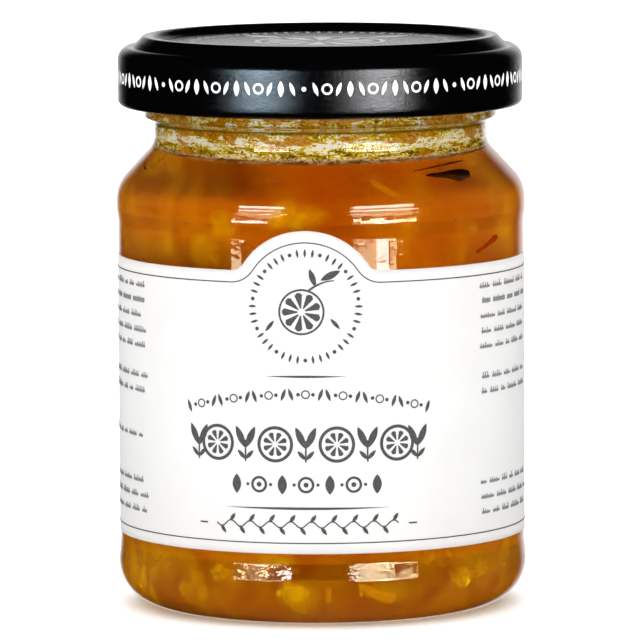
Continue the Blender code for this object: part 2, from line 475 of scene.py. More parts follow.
def marmalade_material():
    """Clear amber jelly that takes up blue and green with depth, and is a little cloudy and golden, more to
    the left of the label's tab and near the foot. Painted shade darkens it in a dome behind the tab,
    under the neck and in the middle of the glass's lower step; painted rim light makes its rim and the
    ends of its foot more golden."""
    g = Graph("orange_marmalade")
    relief = g.bump(g.noise(420, 3), 0.15, 0.0002)
    side, depth, rise = g.place()
    across = g.math("ABSOLUTE", side)
    # Painted shade: the jelly darkens in the middle of the lower step, in a dome behind the tab and under the
    # neck
    step = g.grade(g.off(rise, STEP_MIDDLE_Z), 1.0 * MM, 1.15 * MM, 1.0, 0.0)
    step = g.times(step, g.grade(across, 4.5 * MM, 9.0 * MM, 0.8, 0.15))
    dome = g.grade(g.oval(side, rise, *DOME_SHADE), 0.93, 1.04, 0.8, 0.0)
    dome = g.times(dome, g.grade(depth, -2 * MM, 0.0, 1.0, 0.0))
    neck_shade = g.grade(g.off(side, 3.5 * MM), 0.013, 0.018, 1.0, 0.0)
    neck_shade = g.times(g.grade(rise, 56.5 * MM, 58.5 * MM, 0.0, 0.8), neck_shade)

    tint = g.ramp(g.noise(90, 3, 0.5, 0.6), [(0.3, (1.0, 0.92, 0.80)), (0.7, (1.0, 0.99, 0.96))])
    # The last three tints are the painted shade
    for part, colour in (
        (g.grade(side, -0.012, 0.0, 0.0, 0.9), (0.97, 0.82, 0.80)),
        (g.grade(rise, 44 * MM, 54 * MM, 0.0, 0.7), (0.88, 0.75, 0.72)),
        (dome, (0.80, 0.64, 0.60)),
        (neck_shade, (0.66, 0.44, 0.42)),
        (step, (0.72, 0.50, 0.50)),
    ):
        tint = g.mix(part, tint, (*colour, 1))
    clear = g.clear(tint, 0.26, 1.45, (0.5, 0.20, 0.0), relief)

    cloud = g.noise(200, 2, 0.45, 0.5, (1, 1, 0.7))
    patches = g.times(golden_patches(g, side, rise), g.grade(depth, -6 * MM, -3 * MM, 1.0, 0.0))
    gold = g.ramp(cloud, [(0.35, (0.66, 0.18, 0.0005)), (0.65, (0.90, 0.38, 0.001))])
    gold = g.mix(g.grade(patches, 0.0, 0.2, 0.0, 0.8), gold, (0.92, 0.50, 0.001, 1))
    golden = g.matt(gold, 0.6, relief)

    left = g.grade(side, -0.014, 0.002, 0.07, 0.0)
    right = g.grade(side, 0.012, 0.020, 0.0, 0.04)
    low = g.grade(rise, 0.006, 0.030, 0.16, -0.035)
    slope = g.times(g.grade(rise, 0.056, 0.060, 0.0, 0.14), g.grade(side, -0.015, -0.009, 1.0, 0.0))
    # Painted rim light: more gold at the ends of the foot and where the jelly turns away from the eye
    foot_end_light = g.times(g.grade(rise, 0.010, 0.014, 0.08, 0.0), g.grade(across, 0.019, 0.024, 0.0, 1.0))
    edge = g.times(g.grade(g.facing(), 0.20, 0.30, 0.0, 0.2), g.grade(rise, 0.0065, 0.0085, 0.0, 1.0))
    share = g.grade(cloud, 0.35, 0.70, 0.03, 0.19)
    for more in (left, low, slope, foot_end_light, right, edge, patches):
        share = g.plus(share, more)
    # Less gold where the shade is painted
    shaded = g.math("MAXIMUM", step, neck_shade)
    share = g.times(share, g.math("SUBTRACT", 1.0, g.times(shaded, 0.7)))
    absorb = g.add("VolumeAbsorption", {"Color": (0.942, 0.842, 0.0, 1), "Density": 350.0}).outputs[0]
    return g.finish(g.let_lamps_through(g.blend(share, clear, golden), (1, 1, 1)), absorb)


def soft_bit(g, colour, body):
    """Something soft in the jelly: solid where it faces the eye, by body, and melting away at its rim."""
    inside = g.matt(colour, 0.6, g.bump(g.noise(1300, 3), 0.5, 0.0003))
    inside = g.blend(0.4, inside, g.glow(colour))
    clear = g.add("BsdfTransparent", {"Color": (1, 1, 1, 1)}).outputs[0]
    share = g.times(g.grade(g.facing(), 0.1, 0.85, 1.0, 0.0), body)
    share = g.times(share, g.grade(g.place()["Z"], 0.010, 0.030, 1.0, 0.45))
    return g.finish(g.blend(share, clear, inside))


def peel_material():
    g = Graph("candied_peel")
    pith = g.noise(700, 4, 0.6)
    stops = [(0.3, (0.80, 0.36, 0.001)), (0.55, (0.90, 0.52, 0.002)), (0.8, (1.0, 0.72, 0.006))]
    colour = g.ramp(pith, stops)
    return soft_bit(g, colour, g.grade(g.noise(350, 2), 0.35, 0.65, 0.25, 0.6))


def pulp_material():
    g = Graph("orange_pulp")
    cells = g.noise(1100, 3, 0.6)
    colour = g.ramp(cells, [(0.35, (0.95, 0.60, 0.001)), (0.65, (1.0, 0.84, 0.004))])
    return soft_bit(g, colour, g.grade(g.noise(600, 3), 0.35, 0.65, 0.2, 0.75))


def thread_material():
    g = Graph("saffron")
    colour = g.ramp(g.noise(1500, 2), [(0.3, (0.003, 0.0006, 0.0005)), (0.7, (0.018, 0.002, 0.001))])
    colour = g.mix(g.grade(g.place()["Z"], 52 * MM, 57 * MM, 1, 0), colour, (0.36, 0.035, 0.001, 1))
    return g.finish(g.matt(colour, 0.4))


def bubble_material():
    g = Graph("bubbles")
    tone = g.ramp(g.noise(3000, 1), [(0.3, (1.0, 0.97, 0.9)), (0.7, (1.0, 1.0, 1.0))])
    return g.finish(g.let_lamps_through(g.clear(tone, 0.0, 0.72, (1, 1, 1)), (1, 1, 1)))


def film_material():
    """Marmalade smeared thin on the neck: a crinkled golden band at its foot, a white one over it, and
    white with amber patches up to the lid. Painted shade draws a dark line at the bead's lower edge and a
    dark band at the film's foot on the jelly's surface."""
    g = Graph("marmalade_film")
    rise = g.place()["Z"]
    wander = g.grade(g.noise(130, 2), 0.3, 0.7, -0.7 * MM, 0.7 * MM)
    level = g.grade(g.plus(rise, wander), 61.2 * MM, FILM_TOP_Z, 0, 1)
    bias = g.ramp(level, [(t, (v, v, v)) for t, v in FILM_BANDS])
    craze = g.noise(1150, 3, 0.6, 1.6, (1, 1, 1.3))
    streak = g.noise(300, 3, 0.6, 0.5, (1, 1, 5))
    height = g.math("MULTIPLY_ADD", streak, 0.4, g.times(craze, 0.6))
    tone_at = g.math("MULTIPLY_ADD", bias, 0.26, g.math("SUBTRACT", height, 0.13))
    tone = g.ramp(tone_at, FILM_TONES)
    amber = g.ramp(craze, [(0.40, (0.42, 0.15, 0.0005)), (0.60, (0.76, 0.38, 0.001))])
    upper = g.grade(rise, 64.3 * MM, 65.8 * MM, -0.05, 0.05)
    patch = g.grade(g.plus(g.noise(260, 2, 0.5, 0.5, (1, 1, 1.7)), upper), 0.53, 0.56, 0.0, 0.9)
    colour = g.mix(patch, tone, amber)
    fringe = g.times(g.grade(rise, 61.9 * MM, 62.5 * MM, 1, 0), g.grade(craze, 0.42, 0.55, 0, 0.9))
    colour = g.mix(fringe, colour, (0.86, 0.60, 0.42, 1))
    # Painted shade: a dark line at the bead's lower edge
    line = g.grade(g.off(rise, BEAD_LINE_Z), 0.45 * MM, 0.8 * MM, 0.85, 0)
    colour = g.mix(line, colour, (0.17, 0.105, 0.002, 1))
    # Painted shade: a dark band at the film's foot, where it meets the jelly's surface
    foot = g.times(g.grade(rise, 61.72 * MM, 61.95 * MM, 1, 0), g.grade(streak, 0.45, 0.55, 0.4, 0.95))
    colour = g.mix(foot, colour, (0.16, 0.045, 0.001, 1))
    relief = g.bump(height, 1.0, 0.00035)
    clear = g.clear(colour, 0.05, 1.45, (0.5, 0.5, 0.5), relief)
    pale = g.blend(0.22, g.matt(colour, 0.5, relief), g.glow(colour, relief))
    return g.finish(g.let_lamps_through(g.blend(0.82, clear, pale), (0.95, 0.80, 0.45)))


def lid_material():
    g = Graph("black_lacquer")
    grain = g.noise(3800, 3, 0.6)
    tone = g.ramp(g.noise(400, 2), [(0.3, (0.0003, 0.0003, 0.0005)), (0.7, (0.0006, 0.0006, 0.0009))])
    roughness = g.grade(grain, 0.3, 0.7, 0.10, 0.18)
    return g.finish(g.principled(tone, roughness, g.bump(grain, 0.6, 0.00006), IOR=1.5))


def paper_material():
    g = Graph("white_paper")
    fibre = g.noise(2600, 4, 0.65, 0.0, (1, 1, 2.2))
    cloud = g.noise(150, 3)
    tone = g.ramp(cloud, [(0.35, (0.83, 0.835, 0.83)), (0.65, (0.85, 0.855, 0.855))])
    face = g.principled(tone, g.grade(fibre, 0.3, 0.7, 0.5, 0.66), g.bump(fibre, 0.12, 0.00005))
    return g.finish(g.blend(0.45, face, g.glow(tone)))


def ink_material(name, dark, light, roughness):
    g = Graph(name)
    tone = g.ramp(g.noise(4200, 3, 0.6), [(0.35, dark), (0.7, light)])
    return g.finish(g.principled(tone, roughness, g.bump(g.noise(6000, 2), 0.1, 0.00002)))


def make_glass():
    quarter = math.pi / 2
    inside = straight((0, FLOOR_Z + FLOOR_RISE), (INNER_R - INNER_HEEL_R, FLOOR_Z), 12)[:-1]
    inside += inner_wall(0)
    inside += smooth_step((INNER_NECK_R, MOUTH_FLARE_Z[0]), (MOUTH_R, MOUTH_FLARE_Z[1]))
    inside += arc(MOUTH_R + RIM_ROUND, RIM_Z - RIM_ROUND, RIM_ROUND, math.pi, quarter, 5)
    ring_inner_edge = (FOOT_R - FOOT_HOLLOW * 0.2, FOOT_HOLLOW * 0.05)
    foot = [(FOOT_R, 0)] + smooth_step(ring_inner_edge, (FOOT_R - 3 * FOOT_HOLLOW, FOOT_HOLLOW))
    foot += straight((FOOT_R - 4 * FOOT_HOLLOW, FOOT_HOLLOW), (0, FOOT_HOLLOW), 8)
    profile = inside + outer_wall()[::-1] + foot
    mesh = turned_mesh("glass", profile)
    add_piece("glass", mesh, glass_material("clear_glass", 1), "glass_jar")
    mesh.materials.append(glass_material("wetted_glass", 0))
    wall = inner_wall(0)
    for face in mesh.polygons:
        x, y, z = face.center
        wetted = FLOOR_Z - 0.1 * MM < z < FILL_Z and math.hypot(x, y) < radius_at(wall, z) + 0.3 * MM
        face.material_index = int(wetted)


def make_fill():
    """The set marmalade: level at the foot of the neck, uneven on top, and just into the wall all round."""
    side = cut_at_height(inner_wall(FILL_INTO_WALL), FILL_Z)
    edge_r = side[-1][0]
    level_z = FILL_Z - MENISCUS_RISE
    top = straight((0, level_z), (edge_r - MENISCUS_WIDTH, level_z), 22)
    for i in range(1, 7):
        t = i / 7
        top.append((edge_r - MENISCUS_WIDTH * (1 - t), level_z + MENISCUS_RISE * t * t))
    floor_edge = side[0]
    bottom = straight(floor_edge, (0, floor_edge[1] + FLOOR_RISE), 12)[1:]
    mesh = turned_mesh("marmalade_fill", top + side[::-1] + bottom)
    for vertex in mesh.vertices:
        r = math.hypot(vertex.co.x, vertex.co.y)
        if vertex.co.z > level_z - 0.1 * MM and r < edge_r - 0.3 * MM:
            lump = noise.noise(vertex.co * 260) + 0.5 * noise.noise(vertex.co * 700)
            vertex.co.z += 0.25 * MM * lump * min(1, (edge_r - r) / MM)
    add_piece("marmalade_fill", mesh, marmalade_material(), "marmalade")


def make_film():
    """What clings to the inside of the neck above the fill: a thin, broken, lumpy skin."""
    columns, rows = 620, 44
    low_z, high_z = FILL_Z - 0.4 * MM, FILM_TOP_Z
    wall = inner_wall(0)
    bm = bmesh.new()
    outer, inner = [], []
    for j in range(rows + 1):
        z = low_z + (high_z - low_z) * j / rows
        wall_r = radius_at(wall, z)
        run = 1 - (z - FILL_Z) / (high_z - FILL_Z)
        outer.append([])
        inner.append([])
        for i in range(columns):
            angle = 2 * math.pi * i / columns
            p = on_wall(angle, z * 1.4, wall_r)
            thick = 0.10 + 0.28 * noise.noise(p * 420) + 0.16 * noise.noise(p * 1100)
            thick += 0.10 * noise.noise(p * 2300) + 0.12 * run
            inner_r = wall_r + 0.02 * MM if j in (0, rows) else wall_r - thick * MM
            outer[j].append(bm.verts.new(on_wall(angle, z, wall_r + 0.06 * MM)))
            inner[j].append(bm.verts.new(on_wall(angle, z, inner_r)))
    for j in range(rows):
        join_rings(bm, outer[j], outer[j + 1])
        join_rings(bm, inner[j + 1], inner[j])
    join_rings(bm, inner[0], outer[0])
    join_rings(bm, outer[rows], inner[rows])
    add_piece("neck_film", smooth_mesh(bm, "neck_film"), film_material())


def add_strip(bm, start, end, width, thick, bend, dice, grow=0.0):
    """A strand of cut peel: a lumpy bar from start to end that bows by bend, flat side outwards, and starts
    thinner by the share grow."""
    along = end - start
    length = along.length
    along.normalize()
    middle = (start + end) / 2
    out = Vector((middle.x, middle.y, 0)).normalized()
    out = (out - along * out.dot(along)).normalized()
    side = along.cross(out)
    rings, sides = max(8, int(length / (0.7 * MM))), 10
    seed = Vector((dice.uniform(0, 50), dice.uniform(0, 50), dice.uniform(0, 50)))
    grid = []
    for i in range(rings + 1):
        t = i / rings
        taper = min(1, 0.5 + 3.5 * min(t, 1 - t)) * (1 - grow * (1 - t))
        centre = start + along * (length * t) + side * (bend * math.sin(math.pi * t))
        ring = []
        for k in range(sides):
            angle = 2 * math.pi * k / sides
            c, d = math.cos(angle), math.sin(angle)
            p = centre + side * (width / 2 * taper * math.copysign(abs(c) ** 0.6, c))
            p += out * (thick / 2 * taper * math.copysign(abs(d) ** 0.6, d))
            p += (p - centre) * 0.7 * noise.noise(p * 420 + seed)
            ring.append(bm.verts.new(p))
        grid.append(ring)
    for low, high in zip(grid, grid[1:]):
        join_rings(bm, low, high)
    bm.faces.new(grid[0][::-1])
    bm.faces.new(grid[-1])


def add_lump(bm, centre, size, dice, detail=3):
    """A soft, uneven lump of pulp, with its own three half-sizes."""
    made = bmesh.ops.create_icosphere(bm, subdivisions=detail, radius=1)["verts"]
    turn = Quaternion((dice.uniform(-1, 1), dice.uniform(-1, 1), dice.uniform(-1, 1)), dice.uniform(0, 6))
    seed = Vector((dice.uniform(0, 50), dice.uniform(0, 50), dice.uniform(0, 50)))
    for vertex in made:
        p = vertex.co.copy()
        swell = 1 + 0.35 * noise.noise(p * 1.3 + seed) + 0.18 * noise.noise(p * 3.1 + seed)
        vertex.co = centre + turn @ Vector((p.x * size[0], p.y * size[1], p.z * size[2])) * swell


def add_ball(bm, centre, size, detail):
    for vertex in bmesh.ops.create_icosphere(bm, subdivisions=detail, radius=size)["verts"]:
        vertex.co += centre


def piece_from(bm, name, material):
    bmesh.ops.recalc_face_normals(bm, faces=bm.faces)
    return add_piece(name, smooth_mesh(bm, name), material)


def inside_spot(dice, near_wall, lowest=4.2):
    """A random spot in the fill as (angle, height, radius), often close to the glass."""
    height = dice.uniform(lowest, 59.0) * MM
    wall = radius_at(INNER, height) - 1.0 * MM
    deep = abs(dice.gauss(5.2, 2.0)) * MM
    radius = wall - deep if near_wall else wall * math.sqrt(dice.uniform(0.05, 0.95))
    return dice.uniform(-math.pi, math.pi), height, radius


def spot(angle, height, radius):
    """A point at an angle from the label's middle in degrees, and a height and radius in millimetres."""
    return on_wall(math.radians(angle), height * MM, radius * MM)


def at_glass(angle, height, depth=0.0):
    """The same at the glass's inner face, or a depth inside it."""
    return on_wall(math.radians(angle), height * MM, radius_at(INNER, height * MM) - depth)


def make_fruit():
    """Strands of peel, lumps of pulp, saffron threads and bubbles, all sunk in the fill."""
    dice = random.Random(5)
    peel = bmesh.new()
    for i in range(54):
        angle, height, radius = inside_spot(dice, i % 3 > 0, 16.0)
        if math.cos(angle) > 0.3 and height > 49 * MM:
            continue
        length = dice.uniform(4, 11) * MM
        lean = dice.gauss(math.pi / 2, 0.7)
        half_turn = length * math.cos(lean) / 2 / max(radius, 6 * MM)
        half_rise = length * math.sin(lean) / 2
        low = max(4.0 * MM, height - half_rise)
        high = min(59.5 * MM, height + half_rise)
        low_r = min(radius, radius_at(INNER, low) - 0.9 * MM)
        high_r = min(radius, radius_at(INNER, high) - 0.9 * MM)
        start = on_wall(angle - half_turn, low, low_r)
        end = on_wall(angle + half_turn, high, high_r)
        add_strip(peel, start, end, dice.uniform(0.9, 2.0) * MM, dice.uniform(0.5, 0.9) * MM,
                  dice.uniform(-0.9, 0.9) * MM, dice)
    for start, end, width, bend in SHOWN_PEEL:
        add_strip(peel, spot(*start), spot(*end), width * MM, 0.7 * MM, bend * MM, dice)
    piece_from(peel, "candied_peel", peel_material())

    pulp = bmesh.new()
    for i in range(90):
        angle, height, radius = inside_spot(dice, i % 3 > 0)
        size = dice.uniform(0.7, 1.9) * MM
        shape = (size, size * dice.uniform(0.5, 0.9), size * dice.uniform(0.6, 1.3))
        radius = min(radius, radius_at(INNER, height) - 1.5 * size)
        add_lump(pulp, on_wall(angle, height, max(radius, 0)), shape, dice)
    for angle, height, radius, size in SHOWN_PULP:
        centre = spot(angle, height, radius)
        for _ in range(6):
            near = Vector((dice.gauss(0, 0.5), dice.gauss(0, 0.3), dice.gauss(0, 0.4))) * size * MM
            part = size * dice.uniform(0.3, 0.7) * MM
            add_lump(pulp, centre + near, (part, part * 0.7, part * dice.uniform(0.6, 1.1)), dice)
    piece_from(pulp, "orange_pulp", pulp_material())

    threads = bmesh.new()
    for first, last, width, bend, grow in SAFFRON:
        start, end = at_glass(*first), at_glass(*last)
        outwards = Vector((start.x + end.x, start.y + end.y, 0)).normalized() * THREAD_LIFT
        add_strip(threads, start + outwards, end + outwards, width * MM, 0.4 * MM, bend * MM, dice, grow)
    for i in range(16):
        angle, height, radius = inside_spot(dice, True)
        start = on_wall(angle, height, radius)
        end_angle = angle + dice.uniform(-0.15, 0.15)
        end = on_wall(end_angle, height - dice.uniform(0.5, 3) * MM, radius - 0.5 * MM)
        add_strip(threads, start, end, 0.28 * MM, 0.22 * MM, dice.uniform(-0.6, 0.6) * MM, dice)
    piece_from(threads, "saffron_threads", thread_material())

    bubbles = bmesh.new()
    for i in range(260):
        angle, height, radius = inside_spot(dice, True)
        if i % 2:
            height = dice.uniform(3.6, 10.5) * MM
        size = dice.uniform(0.05, 0.13) * MM
        radius = radius_at(INNER, height) - size - abs(dice.gauss(0, 0.5)) * MM - 0.1 * MM
        add_ball(bubbles, on_wall(angle, height, radius), size, 2)
    for angle, height in SHOWN_BUBBLES:
        size = 0.21 * MM
        add_ball(bubbles, at_glass(angle, height, size + 0.12 * MM), size, 3)
    piece_from(bubbles, "bubbles", bubble_material())


def make_lid():
    quarter = math.pi / 2
    slope_round = (LID_TOP_Z - LID_PANEL_Z) / 2 / (1 - math.cos(RING_SLOPE_TURN))
    crest_r = LID_PANEL_R + 2 * slope_round * math.sin(RING_SLOPE_TURN)
    foot_end = RING_SLOPE_TURN - quarter
    run = straight((0, LID_PANEL_Z), (LID_PANEL_R, LID_PANEL_Z), 10)[:-1]
    run += arc(LID_PANEL_R, LID_PANEL_Z + slope_round, slope_round, -quarter, foot_end, 8)
    run += arc(crest_r, LID_TOP_Z - slope_round, slope_round, foot_end + math.pi, quarter, 8)[1:]
    crest_round = RING_CREST_ROUND
    run += arc(RING_CREST_R, LID_TOP_Z - crest_round, crest_round, quarter, quarter * 0.47, 6)
    run += [(RING_OUTER_R, RING_FOOT_Z), (GROOVE_R[0], GROOVE_Z), (GROOVE_R[1], GROOVE_Z)]
    run += arc(LID_R - LID_SHOULDER_R, LEDGE_Z - LID_SHOULDER_R, LID_SHOULDER_R, LEDGE_TURN, 0, 12)
    run += straight((LID_R, LEDGE_Z - LID_SHOULDER_R), (LID_R, CURL_Z), 8)[1:-1]
    run += arc(LID_R - CURL_R, CURL_Z, CURL_R, 0, -CURL_TURN, 16)
    mesh = turned_mesh("twist_off_lid", run, LID_SHEET)
    add_piece("twist_off_lid", mesh, lid_material(), "lid")


def label_top(along, inset=0.0):
    """Height of the label's upper edge, or of a line inset from it, at a way along from the tab's middle."""
    tab_r = TAB_R - inset
    fillet_r = TAB_FILLET_R + inset
    edge_z = LABEL_Z[1] - inset
    fillet_z = edge_z + fillet_r
    reach = tab_r + fillet_r
    fillet_along = math.sqrt(reach**2 - (fillet_z - TAB_CENTRE_Z) ** 2)
    along = abs(along)
    if along < fillet_along * tab_r / reach:
        return TAB_CENTRE_Z + math.sqrt(tab_r**2 - along**2)
    if along < fillet_along:
        return fillet_z - math.sqrt(fillet_r**2 - (fillet_along - along) ** 2)
    return edge_z


def label_place(along, height, lift):
    """A point over the label's face: along it, up it, and off it."""
    face_r = min(radius_at(OUTER, height) - LABEL_INTO_GLASS + LABEL_SHEET, BODY_R - 0.05 * MM)
    return on_wall(along / PANEL_R, height, face_r + lift)


def make_label():
    half_columns, rows = 340, 40
    bm = bmesh.new()
    grid = []
    for i in range(-half_columns, half_columns + 1):
        angle = LABEL_HALF_TURN * i / half_columns
        along = angle * PANEL_R
        top = label_top(along)
        column = []
        for j in range(rows + 1):
            height = LABEL_Z[0] + (top - LABEL_Z[0]) * j / rows
            column.append(bm.verts.new(label_place(along, height, -LABEL_SHEET)))
        grid.append(column)
    for left, right in zip(grid, grid[1:]):
        for j in range(rows):
            bm.faces.new((left[j], right[j], right[j + 1], left[j + 1]))
    piece = add_piece("wrap_label", smooth_mesh(bm, "wrap_label"), paper_material(), "label")
    sheet = piece.modifiers.new("Sheet", "SOLIDIFY")
    sheet.thickness = LABEL_SHEET
    sheet.offset = 1


class Ink:
    """Flat printed shapes, drawn in millimetres as (along, up) and laid on a surface by place."""

    def __init__(self, place):
        self.place = place
        self.points = []
        self.faces = []

    def ribbon(self, line, widths, closed=False):
        """A band along a line of (along, up) points, with its own width at each point."""
        first, count = len(self.points), len(line)
        for i, (along, up) in enumerate(line):
            before = line[i - 1] if i or closed else line[i]
            after = line[(i + 1) % count] if i + 1 < count or closed else line[i]
            run, rise = after[0] - before[0], after[1] - before[1]
            size = math.hypot(run, rise) or 1
            half = max(widths[i], 0.02) / 2
            self.points.append((along - rise / size * half, up + run / size * half))
            self.points.append((along + rise / size * half, up - run / size * half))
        for i in range(count if closed else count - 1):
            a, b = first + 2 * i, first + 2 * ((i + 1) % count)
            self.faces.append((a, a + 1, b + 1, b))

    def bar(self, start, end, width, count=8):
        self.ribbon(straight(start, end, count), [width] * (count + 1))

    def taper(self, start, end, width, power=1.0, count=12):
        """A band that swells from a point at its start to its full width and back to a point."""
        widths = [width * math.sin(math.pi * i / count) ** power for i in range(count + 1)]
        self.ribbon(straight(start, end, count), widths)

    def ring(self, centre, radius, width, count=40):
        line = []
        for i in range(count):
            angle = 2 * math.pi * i / count
            line.append((centre[0] + radius * math.cos(angle), centre[1] + radius * math.sin(angle)))
        self.ribbon(line, [width] * count, True)

    def dot(self, centre, radius):
        self.ring(centre, radius / 2, radius, 12)

    def leaf(self, centre, angle, length, width):
        run, rise = math.cos(angle) * length / 2, math.sin(angle) * length / 2
        start, end = (centre[0] - run, centre[1] - rise), (centre[0] + run, centre[1] + rise)
        self.taper(start, end, width, 0.8)

    def wheel(self, centre, radius, rim, segments=8):
        """A cut orange: a rim, and a tapered segment for each slice."""
        self.ring(centre, radius - rim / 2, rim)
        inner, outer = radius * 0.16, radius - rim * 1.9
        widest = 2 * outer * math.sin(math.pi / segments) * 0.62
        for i in range(segments):
            angle = 2 * math.pi * (i + 0.5) / segments
            line = []
            widths = []
            for k in range(8):
                t = k / 7
                reach = inner + (outer - inner) * t
                line.append((centre[0] + reach * math.cos(angle), centre[1] + reach * math.sin(angle)))
                widths.append(widest * (0.12 + 0.95 * t) * min(1, 5 * (1.06 - t)))
            self.ribbon(line, widths)

    def piece(self, name, material, slot, lift=INK_LIFT):
        mesh = bpy.data.meshes.new(name)
        points = [self.place(along * MM, up * MM, lift) for along, up in self.points]
        mesh.from_pydata(points, [], self.faces)
        made = add_piece(name, mesh, material)
        sheet = made.modifiers.new("Sheet", "SOLIDIFY")
        sheet.thickness = 0.015 * MM
        sheet.offset = 1
        return made


def frame_lines(ink):
    """The thin rules just inside the label's edges; the upper one follows the tab."""
    inset, foot, width = 1.6, 1.45, 0.15
    end = LABEL_HALF_TURN * PANEL_R / MM - 1.2
    top = []
    for i in range(-420, 421):
        along = end * i / 420
        top.append((along, label_top(along * MM, inset * MM) / MM))
    ink.ribbon(top, [width] * len(top))
    up = LABEL_Z[0] / MM + foot
    ink.bar((-end, up), (end, up), width, 240)


def badge(ink):
    """The tab's round badge: a ring of small marks round a cut orange on its leaves."""
    centre = (0, TAB_CENTRE_Z / MM)
    marks = 44
    for i in range(marks):
        angle = 2 * math.pi * i / marks
        out = (math.cos(angle), math.sin(angle))
        reach = 7.2
        middle = (centre[0] + out[0] * reach, centre[1] + out[1] * reach)
        if i % 4 == 1:
            ink.dot(middle, 0.26)
        else:
            ink.leaf(middle, angle, 1.15, 0.34)
    fruit = (-0.5, centre[1] - 0.7)
    ink.wheel(fruit, 3.1, 0.26, 9)
    stem = []
    for i in range(15):
        t = i / 14
        stem.append((fruit[0] + (1.0 + 3.4 * t), fruit[1] + (2.9 + 2.6 * t - 1.3 * t * t)))
    ink.ribbon(stem, [0.30 - 0.012 * i for i in range(15)])
    ink.leaf((fruit[0] + 3.9, fruit[1] + 4.9), 0.45, 2.9, 0.95)
    ink.leaf((fruit[0] + 1.5, fruit[1] + 4.6), 1.9, 2.5, 0.80)
    ink.leaf((fruit[0] - 4.3, fruit[1] - 1.9), 0.9, 1.9, 0.5)
    ink.leaf((fruit[0] + 4.5, fruit[1] - 1.6), 2.3, 1.9, 0.5)


def arched_chain(ink):
    """The arched line of small marks under the badge."""
    marks, half = 35, 17.0
    for i in range(marks):
        along = half * (2 * i / (marks - 1) - 1)
        up = 31.7 - 2.1 * (along / half) ** 2
        kind = i % 5
        if kind == 2:
            ink.ring((along, up), 0.52, 0.17, 16)
        elif kind in (0, 4):
            ink.leaf((along, up), math.pi / 2 - 0.35 * (1 if kind else -1), 1.75, 0.48)
        else:
            ink.dot((along, up), 0.25)


def fruit_row(ink):
    """The tall middle row: cut oranges with upright leaf pairs between them."""
    up = 24.95
    for i in range(4):
        along = (i - 1.5) * 8.3
        ink.wheel((along, up), 2.45, 0.42, 8)
    for i in range(5):
        along = (i - 2) * 8.3
        if i in (0, 4):
            along *= 0.93
        for side in (-1, 1):
            ink.leaf((along + side * 0.72, up + 0.9), math.pi / 2 - side * 0.42, 3.1, 0.95)
            ink.leaf((along + side * 0.55, up - 1.5), math.pi / 2 - side * 0.75, 1.7, 0.55)
        ink.bar((along, up - 2.4), (along, up + 0.5), 0.22)


def bead_row(ink):
    """The shorter row under it: lozenges and rings."""
    up = 19.5
    for i in range(7):
        along = (i - 3) * 3.2
        if i % 2:
            ink.ring((along, up), 0.95, 0.34, 24)
            ink.dot((along, up), 0.34)
        else:
            ink.leaf((along, up), math.pi / 2, 2.6, 1.25)
        if i < 6:
            ink.dot((along + 1.6, up), 0.22)


def vine(ink):
    """The lowest line: a waving stem with leaves to both sides, and a short dash at each end."""
    half, up, waves = 12.6, 14.1, 9
    stem = []
    steps = 180
    for i in range(steps + 1):
        t = 2 * i / steps - 1
        stem.append((half * t, up + 0.42 * math.sin(math.pi * waves * t)))
    ink.ribbon(stem, [0.17] * len(stem))
    for i in range(waves * 2):
        along = half * ((i + 0.5) / waves - 1)
        side = 1 if i % 2 else -1
        ink.leaf((along + 0.25, up + side * 0.82), side * 0.95, 1.35, 0.5)
    for side in (-1, 1):
        ink.bar((side * 14.1, up - 0.1), (side * 15.3, up - 0.1), 0.2)


def make_print():
    ink = Ink(label_place)
    frame_lines(ink)
    badge(ink)
    arched_chain(ink)
    ink.taper((-5.4, 34.1), (5.4, 34.1), 0.30, 1.0, 24)
    ink.taper((-11.3, 16.3), (11.3, 16.3), 0.34, 1.0, 40)
    fruit_row(ink)
    bead_row(ink)
    vine(ink)
    dark = ink_material("grey_ink", (0.030, 0.030, 0.034), (0.075, 0.075, 0.08), 0.5)
    ink.piece("label_print", dark, "white_paper")

    panels = Ink(label_place)
    dice = random.Random(11)
    rows = [44.9 - 2.05 * i for i in range(16) if i not in (5, 8, 9, 11, 12)]
    for up in rows:
        for side, near in ((-1, 25.4), (1, 26.4)):
            if side > 0 and up < 30 and up > 20:
                continue
            along = near + (dice.uniform(0, 2.4) if side < 0 else dice.uniform(0, 0.7))
            thick = 0.30 if up != rows[1] else 0.52
            while along < 41:
                word = dice.uniform(1.1, 3.6)
                lean = up + thick / 2
                panels.bar((side * along, lean), (side * (along + word), lean), 1.1 * thick)
                for k in range(int(word / 0.5)):
                    tick = along + 0.25 + k * 0.5
                    tall = dice.uniform(0.5, 0.95)
                    low, high = (side * tick, up - 0.1), (side * tick, up - 0.1 + tall)
                    panels.bar(low, high, 0.16, 2)
                along += word + 0.75
    grey = ink_material("pale_ink", (0.12, 0.12, 0.125), (0.22, 0.22, 0.22), 0.5)
    panels.piece("side_panel_print", grey, "white_paper")


def lid_skirt_place(along, up, lift):
    return on_wall(along / LID_R, up, LID_R + lift)


def lid_top_place(along, up, lift):
    return Vector((along, up, LID_PANEL_Z + lift))


